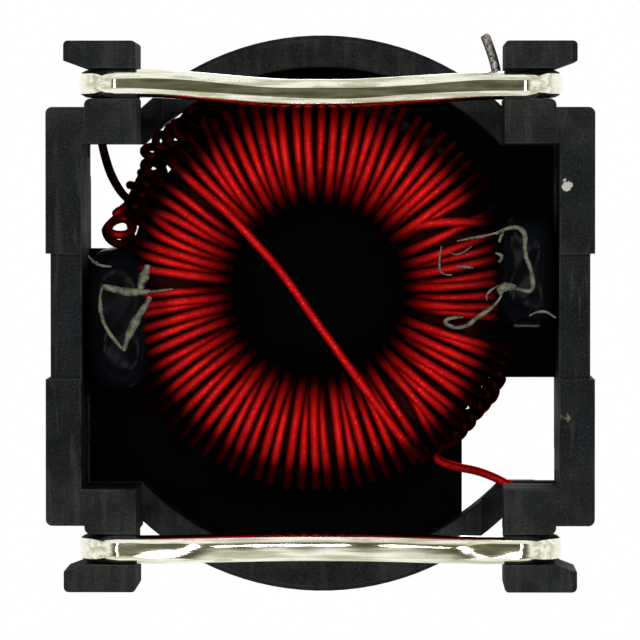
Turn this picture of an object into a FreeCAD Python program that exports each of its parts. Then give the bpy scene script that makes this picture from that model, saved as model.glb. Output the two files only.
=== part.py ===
import FreeCAD, Part
import math
import os

# Surface-mount toroidal inductor, in millimetres.
# The board is the plane z = 0 and +Z points away from it.  The origin is below the middle of the
# pick-up disc.  A moulded header hangs a wound ring core under its disc, between two side bars.
# Four posts stand out of the bars' corners, and each terminal is a thick tinned wire that runs from
# post to post along the board and hooks round a neck at each end.  The winding is one length of
# enamelled wire: half of the turns, a diagonal crossing over the bore, and the other half.

Vector = FreeCAD.Vector
Z_AXIS = Vector(0, 0, 1)
ORIGIN = Vector(0, 0, 0)

# ---------------------------------------------------------------- driving dimensions

# terminals
terminal_d = 1.29           # tinned copper wire
coin_depth = 0.1            # how far the foot is pressed flat
foot_bend_inside = 1.35     # inside radius of the wide bend from a foot into its leg
hook_bend_inside = 0.45     # inside radius of the tight bend into a hook
hook_reach = 0.34           # the cut end of a hook, out from the post's inner side
bow_a = 0.45                # how far each foot bows in towards the coil
bow_b = 0.1
bow_bend_r = 4.0
foot_run = 0.45             # straight run of a foot before it bows
groove_play = 0.04          # wire to plastic

# posts
post_inset = 2.49           # a post's inner side, in from the bar's inner face
neck_w = 1.44
neck_h = 3.8
neck_edge = 0.4             # under the hook
neck_flat = 0.1             # least width left on the foot side of a neck
head_w = 3.3
head_t = 1.25
head_foot_z = 0.35          # the head stands this far off the board
head_h = 5.65
head_edge = 0.2
head_chamfer = 0.27         # along the foot of the head's outer side
head_chamfer_h = 0.5
head_slope_w = 0.95         # the head's corner beside the wire slopes away
head_slope_t = 0.35
block_w = 2.34              # the root of a post, beside the neck
block_step = 0.38           # how far the root stands beyond the bar's end

# side bars
bar_play = 1.5              # between the coil and a bar
bar_t = 1.6
bar_foot_z = 0.55
bar_waist_half_y = 2.85
bar_waist_inset = 0.2
bar_waist_lift = 0.45
block_inner_y = 7.85
block_t = 1.65
corner_edge = 0.3

# disc and pocket
pocket_play = 1.07          # round the coil, on the side it is set to
headroom = 0.52             # over the coil's first layer of wire
floor_t = 1.4
rim_t = 0.88
rim_depth = 1.4
disc_reach = 0.6            # the disc is drawn out this far each way along Y
shoulder_drop = 0.5         # the corners stand this much lower than the disc
disc_edge = 0.2

# windows and lead exits, in two opposite corners
window_w = 4.33
window_near_y = 3.0
exit_inset = 0.96           # a slot's inner side, in from the post's
exit_w = 3.6
exit_foot_z = 6.1

# ring core
core_od = 17.5
core_id = 9.4
core_h = 4.83
core_edge = 0.95
core_foot_z = 2.2
coil_x = -0.15
coil_y = -1.15

# winding
wire_d = 0.4
wire_sides = 6              # the thin wire is drawn with six flats
lay_gap = 0.03              # between the wire and what it lies on
turn_chamfer = 0.9          # how far the wire cuts the core's corner
turns_a = 46
first_angle_a = 52.5
last_angle_a = -134.4
turns_b = 38
first_angle_b = 61.5
last_angle_b = 215.5
loose_turn = 33             # one turn of the second half stands off the core
loose_by = 0.75
crossing_start = 221.0
crossing_end = 57.8
bend_step = 25.0            # degrees between the flats of a rounded bend
lead_bend = 0.45
lead_drop = 0.8             # from the pocket's floor to a lead that leaves the pocket

# adhesive and solder
adhesive_gap = 0.03
dab_corner = 1.5
dab_edge = 0.7
solder_r = 0.42
solder_length = 2.6

# ---------------------------------------------------------------- sizes that follow

# the coil, from the core outwards
wire_r = wire_d / 2
corner_r = wire_r * 1.05    # a hexagon with nearly the round wire's area
core_top_z = core_foot_z + core_h
turn_outer_r = core_od / 2 + lay_gap + corner_r
turn_inner_r = core_id / 2 - lay_gap - corner_r
turn_low_z = core_foot_z - lay_gap - corner_r
turn_high_z = core_top_z + lay_gap + corner_r
coil_outer_r = turn_outer_r + corner_r
bore_pitch = turn_inner_r * math.radians((first_angle_a - last_angle_a) / (turns_a - 1))
# every other turn rides this far out, where there is no room for all of them side by side
second_layer = math.sqrt(max(0.0, (2 * corner_r + lay_gap) ** 2 - bore_pitch ** 2))

# the header, round the coil
pocket_r = coil_outer_r + abs(coil_y) + pocket_play
disc_r = pocket_r + rim_t
floor_z = turn_high_z + corner_r + headroom
rim_z = floor_z - rim_depth
disc_top_z = floor_z + floor_t
shoulder_z = disc_top_z - shoulder_drop
bar_inner_x = coil_outer_r + abs(coil_x) + bar_play
frame_half_x = bar_inner_x + bar_t
frame_half_y = block_inner_y + block_t
post_inner_x = bar_inner_x - post_inset
block_outer_x = post_inner_x + block_w
block_outer_y = frame_half_y + block_step
head_top_z = head_foot_z + head_h
window_inner_x = bar_inner_x - window_w
exit_inner_x = post_inner_x - exit_inset
exit_outer_x = exit_inner_x + exit_w
dab_wall_x = bar_inner_x + dab_edge

# the terminals and the necks they are bent round
terminal_z = terminal_d / 2 - coin_depth
terminal_back_z = terminal_z + terminal_d / 2
neck_foot_z = terminal_back_z + groove_play
neck_top_z = neck_foot_z + neck_h
neck_outer_x = post_inner_x + neck_w
neck_foot_edge = min(foot_bend_inside - groove_play, neck_w - neck_flat)
leg_x = neck_outer_x + groove_play + terminal_d / 2
hook_z = neck_top_z + groove_play + terminal_d / 2
hook_end_x = post_inner_x + hook_reach
groove_w = terminal_d + 2 * groove_play
head_inner_y = block_outer_y + groove_w
terminal_y = block_outer_y + groove_w / 2

# the leads
lead_z = terminal_back_z + lay_gap + corner_r
over_hook_z = hook_z + terminal_d / 2 + lay_gap + corner_r
lead_exit_z = floor_z - lead_drop


# ---------------------------------------------------------------- helpers

def box(x0, x1, y0, y1, z0, z1):
    return Part.makeBox(x1 - x0, y1 - y0, z1 - z0, Vector(x0, y0, z0))


def cylinder(radius, z0, z1, x=0.0, y=0.0):
    return Part.makeCylinder(radius, z1 - z0, Vector(x, y, z0), Z_AXIS)


def prism(outline, z0, z1):
    """A closed outline of (x, y) corners, carried from z0 up to z1."""
    corners = [Vector(x, y, z0) for x, y in outline]
    face = Part.Face(Part.makePolygon(corners + corners[:1]))
    return face.extrude(Vector(0, 0, z1 - z0))


def wedge(outline, y0, y1):
    """A closed outline of (x, z) corners, carried from y0 to y1."""
    corners = [Vector(x, y0, z) for x, z in outline]
    face = Part.Face(Part.makePolygon(corners + corners[:1]))
    return face.extrude(Vector(0, y1 - y0, 0))


def half_turn(shape):
    turned = shape.copy()
    turned.rotate(ORIGIN, Z_AXIS, 180)
    return turned


def mirrored_x(shape):
    return shape.mirror(ORIGIN, Vector(1, 0, 0))


def mirrored_y(shape):
    return shape.mirror(ORIGIN, Vector(0, 1, 0))


def upright_edges(shape, places):
    """The straight edges along Z that stand over any of the (x, y) places."""
    found = []
    for edge in shape.Edges:
        start, end = edge.Vertexes[0].Point, edge.Vertexes[-1].Point
        along_z = abs(start.x - end.x) < 1e-6 and abs(start.y - end.y) < 1e-6
        near = [p for p in places if math.hypot(start.x - p[0], start.y - p[1]) < 1e-3]
        if along_z and near:
            found.append(edge)
    return found


def lies_along_y(edge, x, z):
    """Whether both ends of an edge lie on the line through (x, z) along Y."""
    return all(abs(v.X - x) < 1e-6 and abs(v.Z - z) < 1e-6 for v in edge.Vertexes)


def bend(before, corner, after, radius):
    """The tangent arc that rounds one corner of a path: its start, middle, end and centre."""
    back = (before - corner).normalize()
    ahead = (after - corner).normalize()
    turn = math.pi - back.getAngle(ahead)
    reach = radius * math.tan(turn / 2)
    inward = (back + ahead).normalize()
    centre = corner + inward * (radius / math.cos(turn / 2))
    start = corner + back * reach
    end = corner + ahead * reach
    middle = centre - inward * radius
    return start, middle, end, centre, turn


def rounded_wire(points, radii):
    """Straight runs joined by tangent arcs, as one wire of lines and circular arcs."""
    edges = []
    last = points[0]
    for i, radius in enumerate(radii, start=1):
        start, middle, end, centre, turn = bend(points[i - 1], points[i], points[i + 1], radius)
        edges.append(Part.LineSegment(last, start).toShape())
        edges.append(Part.Arc(start, middle, end).toShape())
        last = end
    edges.append(Part.LineSegment(last, points[-1]).toShape())
    return Part.Wire(edges)


def rounded_points(points, radius):
    """The same bends as short chords, for the thin wire: no chord turns more than bend_step."""
    path = [points[0]]
    for before, corner, after in zip(points, points[1:], points[2:]):
        room = min((before - corner).Length, (after - corner).Length)
        turn = math.pi - (before - corner).getAngle(after - corner)
        fits = 0.45 * room / math.tan(turn / 2)
        start, middle, end, centre, turn = bend(before, corner, after, min(radius, fits))
        steps = max(1, math.ceil(math.degrees(turn) / bend_step))
        normal = (start - centre).cross(end - centre).normalize()
        for step in range(steps + 1):
            spoke = FreeCAD.Rotation(normal, math.degrees(turn) * step / steps)
            path.append(centre + spoke.multVec(start - centre))
    path.append(points[-1])
    return path


def mitred_tube(path, radius, sides):
    """A tube of flat sides along a chain of straight runs, mitred where two runs meet."""
    runs = [(b - a).normalize() for a, b in zip(path, path[1:])]
    side = runs[0].cross(Z_AXIS if abs(runs[0].z) < 0.9 else Vector(1, 0, 0)).normalize()
    ring = []
    for k in range(sides):
        spoke = FreeCAD.Rotation(runs[0], 360.0 * k / sides)
        ring.append(path[0] + spoke.multVec(side) * radius)
    rings = [ring]
    for i in range(1, len(path)):
        run = runs[i - 1]
        ahead = runs[i] if i < len(runs) else run
        normal = (run + ahead).normalize()
        slide = [(path[i] - p).dot(normal) / run.dot(normal) for p in rings[-1]]
        rings.append([p + run * t for p, t in zip(rings[-1], slide)])
    faces = [Part.Face(Part.makePolygon(rings[0] + rings[0][:1]))]
    faces.append(Part.Face(Part.makePolygon(rings[-1] + rings[-1][:1])))
    for low, high in zip(rings, rings[1:]):
        for k in range(sides):
            n = (k + 1) % sides
            faces.append(Part.Face(Part.makePolygon([low[k], low[n], high[n], high[k], low[k]])))
    shell = Part.makeShell(faces)
    shell.sewShape()
    tube = Part.Solid(shell)
    if tube.Volume < 0:
        tube.reverse()
    return tube


# ---------------------------------------------------------------- header

def side_wall():
    """The bar on the +X side with the roots of its two posts, seen from above as a C."""
    waist_x = frame_half_x - bar_waist_inset
    upper = [
        (bar_inner_x, block_inner_y),
        (post_inner_x, block_inner_y),
        (post_inner_x, block_outer_y),
        (block_outer_x, block_outer_y),
        (block_outer_x, frame_half_y),
        (frame_half_x, frame_half_y),
        (frame_half_x, bar_waist_half_y),
        (waist_x, bar_waist_half_y),
    ]
    lower = [(x, -y) for x, y in reversed(upper)]
    wall = prism(upper + lower, bar_foot_z, floor_z)
    ends = [(frame_half_x, s * frame_half_y) for s in (1, -1)]
    ends += [(block_outer_x, s * block_outer_y) for s in (1, -1)]
    wall = wall.makeFillet(corner_edge, upright_edges(wall, ends))
    waist = box(bar_inner_x - 1, frame_half_x + 1, -bar_waist_half_y, bar_waist_half_y,
                bar_foot_z - 1, bar_foot_z + bar_waist_lift)
    return wall.cut(waist)


def post():
    """The post at +X, +Y: a neck for the terminal's bend, and a head that keeps it on."""
    neck = box(post_inner_x, neck_outer_x, block_outer_y - 0.2, head_inner_y + 0.2,
               neck_foot_z, neck_top_z)
    for z, radius in ((neck_foot_z, neck_foot_edge), (neck_top_z, neck_edge)):
        wrap = [e for e in neck.Edges if lies_along_y(e, neck_outer_x, z)]
        neck = neck.makeFillet(radius, wrap)
    head_outer_x = post_inner_x + head_w
    head_outer_y = head_inner_y + head_t
    head = prism([
        (post_inner_x, head_inner_y),
        (head_outer_x - head_slope_w, head_inner_y),
        (head_outer_x, head_inner_y + head_slope_t),
        (head_outer_x, head_outer_y),
        (post_inner_x, head_outer_y),
    ], head_foot_z, head_top_z)
    outer = upright_edges(head, [(post_inner_x, head_outer_y), (head_outer_x, head_outer_y)])
    head = head.makeFillet(head_edge, outer)
    foot_chamfer = wedge([
        (head_outer_x - head_chamfer, head_foot_z),
        (head_outer_x + 1, head_foot_z),
        (head_outer_x + 1, head_foot_z + 1 + head_chamfer_h),
        (head_outer_x, head_foot_z + head_chamfer_h),
    ], head_inner_y - 1, head_outer_y + 1)
    return neck.fuse(head.cut(foot_chamfer))


def disc_and_pocket():
    """The pick-up disc with square shoulders, and the round pocket that the coil sits in."""
    shoulders = box(-frame_half_x, frame_half_x, -frame_half_y, frame_half_y, rim_z, shoulder_z)
    corners = [(sx * frame_half_x, sy * frame_half_y) for sx in (1, -1) for sy in (1, -1)]
    shoulders = shoulders.makeFillet(corner_edge, upright_edges(shoulders, corners))
    disc = box(-disc_r, disc_r, -disc_reach, disc_reach, rim_z, disc_top_z)
    ends = [cylinder(disc_r, rim_z, disc_top_z, 0, s * disc_reach) for s in (1, -1)]
    disc = disc.fuse(ends).removeSplitter()
    flat_edges = [e for e in disc.Edges if abs(e.Vertexes[0].Z - e.Vertexes[-1].Z) < 1e-6]
    disc = disc.makeChamfer(disc_edge, flat_edges)
    pocket = cylinder(pocket_r, rim_z - 1, floor_z)
    return shoulders.fuse(disc).cut(pocket)


def window():
    """The opening through the floor at +X, +Y: a square with a tongue along the pocket's wall."""
    below, above = rim_z - 0.5, disc_top_z + 1
    square = box(window_inner_x, bar_inner_x, window_near_y, block_inner_y, below, above)
    tongue = box(window_inner_x, post_inner_x, block_inner_y, frame_half_y, below, above)
    return square.fuse(tongue.common(cylinder(pocket_r, below, above)))


def lead_exit():
    """The slot between a post's root and the floor, where a lead leaves the pocket."""
    return box(exit_inner_x, exit_outer_x, block_inner_y - 0.6, head_inner_y, exit_foot_z, floor_z)


def header():
    wall = side_wall()
    one_post = post()
    posts = [one_post, mirrored_x(one_post), mirrored_y(one_post), half_turn(one_post)]
    body = disc_and_pocket().fuse([wall, mirrored_x(wall)] + posts)
    cuts = [window(), lead_exit()]
    body = body.cut(cuts + [half_turn(c) for c in cuts])
    return body.removeSplitter()


# ---------------------------------------------------------------- terminals

def terminal(bow):
    """One terminal at +Y: hook, leg, coined foot, leg, hook, bent from one piece of round wire."""
    foot_axis_r = foot_bend_inside + terminal_d / 2
    hook_axis_r = hook_bend_inside + terminal_d / 2
    foot_y = terminal_y
    right = [
        Vector(hook_end_x, foot_y, hook_z),
        Vector(leg_x, foot_y, hook_z),
        Vector(leg_x, foot_y, terminal_z),
        Vector(leg_x - foot_axis_r - foot_run, foot_y, terminal_z),
    ]
    middle = Vector(0, foot_y - bow, terminal_z)
    left = [Vector(-p.x, p.y, p.z) for p in reversed(right)]
    points = right + [middle] + left
    half_radii = [hook_axis_r, foot_axis_r, bow_bend_r]
    radii = half_radii + [bow_bend_r] + half_radii[::-1]
    path = rounded_wire(points, radii)
    section = Part.Wire(Part.makeCircle(terminal_d / 2, points[0], Vector(1, 0, 0)))
    wire = path.makePipeShell([section], True, True)
    print("terminal: %.2f mm of wire, volume over section times length %.4f"
          % (path.Length, wire.Volume / (math.pi * terminal_d ** 2 / 4 * path.Length)))
    under = box(-frame_half_x, frame_half_x, 0, 2 * frame_half_y, -terminal_d, 0)
    return wire.cut(under)


# ---------------------------------------------------------------- core and winding

def ring_core():
    blank = cylinder(core_od / 2, core_foot_z, core_top_z, coil_x, coil_y)
    ring = blank.cut(cylinder(core_id / 2, core_foot_z - 1, core_top_z + 1, coil_x, coil_y))
    rims = [e for e in ring.Edges if isinstance(e.Curve, Part.Circle) and e.Closed]
    return ring.makeChamfer(core_edge, rims)


def around(angle, radius, z):
    turn = math.radians(angle)
    return Vector(coil_x + radius * math.cos(turn), coil_y + radius * math.sin(turn), z)


def inner_end(angle, layer, z):
    """Where a turn enters the bore: the second layer rides further in and further out."""
    out = 1 if z > core_top_z else -1
    radius = turn_inner_r - layer * second_layer
    height = z + out * layer * second_layer
    face = around(angle, radius + turn_chamfer, height)
    wall = around(angle, radius, height - out * turn_chamfer)
    return face, wall


def outer_end(angle, z):
    """Where a turn goes over the core's outer corner."""
    out = 1 if z > core_top_z else -1
    face = around(angle, turn_outer_r - turn_chamfer, z)
    wall = around(angle, turn_outer_r, z - out * turn_chamfer)
    return face, wall


def turn_a(angle, step, layer):
    """Up the bore: in along the board side, up, and out over the top to the next place."""
    face_low, wall_low = outer_end(angle, turn_low_z)
    in_face_low, in_wall_low = inner_end(angle, layer, turn_low_z)
    in_face_high, in_wall_high = inner_end(angle, layer, turn_high_z)
    face_high, wall_high = outer_end(angle + step, turn_high_z)
    return [wall_low, face_low, in_face_low, in_wall_low,
            in_wall_high, in_face_high, face_high, wall_high]


def turn_b(before, angle, layer, loose):
    """Down the bore: up the side, in over the top, down, and out along the board side."""
    face_high, wall_high = outer_end(before, turn_high_z)
    in_face_high, in_wall_high = inner_end(angle, layer, turn_high_z)
    in_face_low, in_wall_low = inner_end(angle, layer, turn_low_z)
    face_low, wall_low = outer_end(angle, turn_low_z)
    turn = [wall_high, face_high, in_face_high, in_wall_high,
            in_wall_low, in_face_low, face_low, wall_low]
    if loose:
        middle_z = (turn_low_z + turn_high_z) / 2
        turn.append(around(angle, turn_outer_r + loose_by, middle_z))
    return turn


def start_lead():
    """From its end on the back of the +Y foot, over the hook, through the exit, to the coil."""
    beside = post_inner_x - lay_gap - 1.2 * corner_r
    points = [
        Vector(beside - 3.0, terminal_y - 0.05, lead_z),
        Vector(beside, terminal_y, lead_z),
        Vector(beside, terminal_y, over_hook_z),
        Vector(leg_x - 0.15, terminal_y, over_hook_z),
        Vector(leg_x + 0.2, frame_half_y + 0.1, (over_hook_z + lead_exit_z) / 2),
        Vector(post_inner_x + 0.24, block_inner_y + 0.1, lead_exit_z),
        Vector(post_inner_x - 1.06, block_inner_y - 0.5, lead_exit_z - 0.1),
        around(first_angle_a + 0.8, turn_outer_r + 1.3, lead_exit_z - 0.6),
        around(first_angle_a + 2.7, turn_outer_r + 0.64, lead_exit_z - 1.2),
        around(first_angle_a + 1.5, turn_outer_r + 0.3, turn_low_z + 2.2),
        around(first_angle_a, turn_outer_r, turn_low_z + turn_chamfer + 0.9),
        around(first_angle_a, turn_outer_r, turn_low_z),
    ]
    return rounded_points(points, lead_bend)[:-1]


def crossing():
    """Over the board side: in along the gap at one lead, across the bore, out over the turns."""
    riding_z = turn_low_z - second_layer - wire_d - lay_gap
    start_face, start_wall = outer_end(crossing_start, turn_low_z)
    return [
        start_wall,
        start_face,
        around(crossing_start, 6.9, turn_low_z - 0.1),
        around(crossing_start - 0.5, 5.4, riding_z),
        around(crossing_start - 1.2, 4.4, riding_z),
        around(66.0, 3.95, riding_z),
        around(63.8, 5.8, riding_z),
        around(60.0, 7.9, turn_low_z - wire_d - lay_gap),
        around(crossing_end, turn_outer_r + 0.1, turn_low_z + 0.1),
        around(crossing_end, turn_outer_r, turn_low_z + turn_chamfer + 0.3),
    ]


def finish_lead():
    """Off the last turn, through the exit, over the hook and along the back of the -Y foot."""
    beside = post_inner_x - lay_gap - 1.2 * corner_r
    points = [
        around(last_angle_b, turn_outer_r, turn_low_z + turn_chamfer),
        around(last_angle_b, turn_outer_r, turn_low_z + 1.6),
        around(last_angle_b - 2.5, turn_outer_r + wire_d + 0.1, turn_low_z + 2.6),
        around(208.0, turn_outer_r + wire_d + 0.1, turn_low_z + 3.2),
        around(203.8, turn_outer_r + wire_d + 0.1, turn_low_z + 3.6),
        Vector(1.65 - bar_inner_x, -block_inner_y + 2.4, lead_exit_z - 0.8),
        Vector(1.0 - bar_inner_x, -block_inner_y + 1.45, lead_exit_z - 0.3),
        Vector(0.55 - bar_inner_x, -block_inner_y + 0.1, lead_exit_z),
        Vector(-leg_x - 0.1, -frame_half_y - 0.1, (over_hook_z + lead_exit_z) / 2),
        Vector(-leg_x + 0.15, -terminal_y, over_hook_z),
        Vector(-beside, -terminal_y, over_hook_z),
        Vector(-beside, -terminal_y, lead_z),
        Vector(-beside + 1.2, -terminal_y + 0.05, lead_z),
        Vector(0, -terminal_y + bow_a, lead_z),
        Vector(beside, -terminal_y + 0.1, lead_z),
        Vector(beside - 0.15, -head_inner_y - 0.2, lead_z - 0.05),
        Vector(beside - 0.6, -head_inner_y - 1.15 * head_t, lead_z - 0.6),
    ]
    return rounded_points(points, lead_bend)[1:]


def winding_path():
    """The whole wire, from its end on one terminal to its cut end past the other."""
    step_a = (last_angle_a - first_angle_a) / (turns_a - 1)
    step_b = (last_angle_b - first_angle_b) / (turns_b - 1)
    path = start_lead()
    for k in range(turns_a):
        angle = first_angle_a + step_a * k
        path += turn_a(angle, step_a, k % 2)
    path += crossing()
    for k in range(turns_b):
        angle = first_angle_b + step_b * k
        before = angle - step_b if k else crossing_end
        path += turn_b(before, angle, (k + 1) % 2, k == loose_turn)
    return path + finish_lead()


def winding():
    path = winding_path()
    tube = mitred_tube(path, corner_r, wire_sides)
    length = sum((b - a).Length for a, b in zip(path, path[1:]))
    section = wire_sides / 2 * corner_r ** 2 * math.sin(2 * math.pi / wire_sides)
    print("winding: %d turns, %.0f mm of wire, volume over section times length %.4f"
          % (turns_a + turns_b, length, tube.Volume / (section * length)))
    return tube


def coil_envelope(gap):
    """The ring that the turns fill, a gap larger all round."""
    reach = corner_r + gap
    bevel = turn_chamfer - reach * math.tan(math.pi / 8)
    inner = turn_inner_r - second_layer - reach
    outer = turn_outer_r + reach
    lift = second_layer
    profile = [
        (inner, turn_low_z - lift - reach),
        (turn_outer_r - bevel, turn_low_z - reach),
        (outer, turn_low_z + bevel),
        (outer, turn_high_z - bevel),
        (turn_outer_r - bevel, turn_high_z + reach),
        (inner, turn_high_z + lift + reach),
    ]
    corners = [Vector(coil_x + r, coil_y, z) for r, z in profile]
    face = Part.Face(Part.makePolygon(corners + corners[:1]))
    return face.revolve(Vector(coil_x, coil_y, 0), Z_AXIS, 360)


# ---------------------------------------------------------------- adhesive and solder

def adhesive(x0, x1, y0, y1, z0, body, envelope):
    """A rounded dab of clear resin that fills in between the coil, a bar and the floor."""
    dab = box(x0, x1, y0, y1, z0, floor_z)
    sides = [(x, y) for x in (x0, x1) for y in (y0, y1)]
    dab = dab.makeFillet(dab_corner, upright_edges(dab, sides))
    dab = dab.makeFillet(dab_edge, [e for e in dab.Edges if e.BoundBox.ZMax < z0 + 1e-6])
    pieces = dab.cut([envelope, body]).Solids
    return max(pieces, key=lambda solid: solid.Volume)


def solder(side, terminal_solid, lead):
    """A bead on the back of a foot, round the lead that is laid along it."""
    start_x = post_inner_x - 1.1
    bead = Part.makeCylinder(solder_r, solder_length, Vector(start_x, terminal_y - 0.02, lead_z),
                             Vector(-1, -0.03, 0))
    bead = bead.makeChamfer(solder_r / 3, bead.Edges[:1] + bead.Edges[2:])
    if side < 0:
        bead = half_turn(bead)
    return bead.cut([terminal_solid, lead])


# ---------------------------------------------------------------- build

def build():
    body = header()
    terminal_b = terminal(bow_b)
    terminal_a = half_turn(terminal(bow_a))
    envelope = coil_envelope(adhesive_gap)
    path = winding_path()
    lead_count = len(start_lead())
    tunnel_r = corner_r + lay_gap
    start_tunnel = mitred_tube(path[:lead_count - 4], tunnel_r, 2 * wire_sides)
    finish_tunnel = mitred_tube(finish_lead(), tunnel_r, 2 * wire_sides)
    return {
        "header": body,
        "core": ring_core(),
        "winding": winding(),
        "terminal_a": terminal_a,
        "terminal_b": terminal_b,
        "solder_a": solder(-1, terminal_a, finish_tunnel),
        "solder_b": solder(1, terminal_b, start_tunnel),
        "adhesive_left": adhesive(-dab_wall_x, -7.0, -3.4, 3.9, 2.4, body, envelope),
        "adhesive_right": adhesive(5.5, dab_wall_x, -4.2, 0.9, 1.3, body, envelope),
    }


os.makedirs("parts", exist_ok=True)
for name, shape in build().items():
    print("%-15s solids %d  valid %s  volume %.3f  faces %d"
          % (name, len(shape.Solids), shape.isValid(), shape.Volume, len(shape.Faces)))
    shape.exportStep("parts/%s.step" % name)
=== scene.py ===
# %% [markdown]
# # A toroidal choke for a circuit board
#
# A ring of pressed iron powder carries 84 turns of red enamelled wire.  A black moulded header
# holds it, with two dabs of resin.  Two thick tinned wires hook round the header's posts and lie
# flat along the board, so the whole part is soldered down by them.
#
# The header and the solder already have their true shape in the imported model, and only get a
# finish here.  The core, the winding, the terminals and the resin are worked out again as finer
# surfaces, because their roundness, their lean and their ridges are what the eye goes to.

import bpy
import numpy as np
from mathutils import Matrix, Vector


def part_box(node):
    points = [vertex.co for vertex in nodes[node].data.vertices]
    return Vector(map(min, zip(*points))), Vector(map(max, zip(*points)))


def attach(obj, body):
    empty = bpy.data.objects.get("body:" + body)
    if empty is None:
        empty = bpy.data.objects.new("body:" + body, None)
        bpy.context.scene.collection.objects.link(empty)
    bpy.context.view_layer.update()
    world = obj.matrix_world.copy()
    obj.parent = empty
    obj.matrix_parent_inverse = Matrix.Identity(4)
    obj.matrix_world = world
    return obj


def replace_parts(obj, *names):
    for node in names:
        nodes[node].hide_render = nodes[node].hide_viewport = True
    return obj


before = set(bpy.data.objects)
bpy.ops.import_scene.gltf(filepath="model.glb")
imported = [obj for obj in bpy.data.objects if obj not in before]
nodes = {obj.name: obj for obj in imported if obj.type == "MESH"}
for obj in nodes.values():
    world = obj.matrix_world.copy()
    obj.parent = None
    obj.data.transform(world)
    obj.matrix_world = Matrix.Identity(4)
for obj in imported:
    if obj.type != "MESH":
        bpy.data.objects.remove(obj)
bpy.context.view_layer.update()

MM = 0.001
scene = bpy.context.scene


def box_mm(node):
    """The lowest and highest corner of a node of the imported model, in millimetres."""
    return [np.array(corner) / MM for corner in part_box(node)]


def unit(vectors):
    """Each vector divided by its own length."""
    return vectors / np.linalg.norm(vectors, axis=-1, keepdims=True)


def smooth(share):
    """0 up to 0, 1 from 1 on, and in between three times the square less twice the cube."""
    share = np.clip(share, 0.0, 1.0)
    return share * share * (3 - 2 * share)


# %% [markdown]
# ## The camera
#
# The part is looked at from the board's side, square on, so that all that matters shows: the
# flats of both terminals, the fan of turns, and the wire that crosses the bore.  A long lens from
# a quarter of a metre keeps the depth of the pocket almost free of perspective.  The camera could
# be turned with Euler angles.  Its three axes are worked out instead from where it stands and
# what it looks at, because then no sign can be wrong.

# %% Camera
VIEW_PLACE = np.array([3.125, -6.114, -250.0])
VIEW_TARGET = np.array([0.0, 0.136, 0.0])
VIEW_UP = np.array([0.0, -1.0, 0.0])
VIEW_WIDTH = 28.93              # mm seen across, in the plane of the board


def camera_looking(place, target, up, width):
    """A camera at place that sees a strip of that width at the target's distance.

    Its back points away from the target, its right is up crossed with its back, and its lens is
    the film's width times the distance over the strip's width."""
    data = bpy.data.cameras.new("camera")
    back = unit(place - target)
    right = unit(np.cross(up, back))
    data.lens = data.sensor_width * np.linalg.norm(place - target) / width
    data.clip_start, data.clip_end = 0.01, 10.0
    camera = bpy.data.objects.new("camera", data)
    pose = np.eye(4)
    pose[:3, :3] = np.stack([right, np.cross(back, right), back], axis=1)
    pose[:3, 3] = place * MM
    camera.matrix_world = Matrix(pose.tolist())
    return camera


scene.camera = camera_looking(VIEW_PLACE, VIEW_TARGET, VIEW_UP, VIEW_WIDTH)
scene.collection.objects.link(scene.camera)
scene.view_settings.view_transform = "Standard"
print("lens: %.1f mm" % scene.camera.data.lens)

# %% [markdown]
# ## A finish as a small graph
#
# Every finish below is a graph of nodes that ends in one Principled shader.  A graph could be
# drawn by hand in the editor.  In a script the helper underneath keeps it readable: `add` makes a
# node, sets what is named, joins what comes from another node, and gives back its output.

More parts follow.
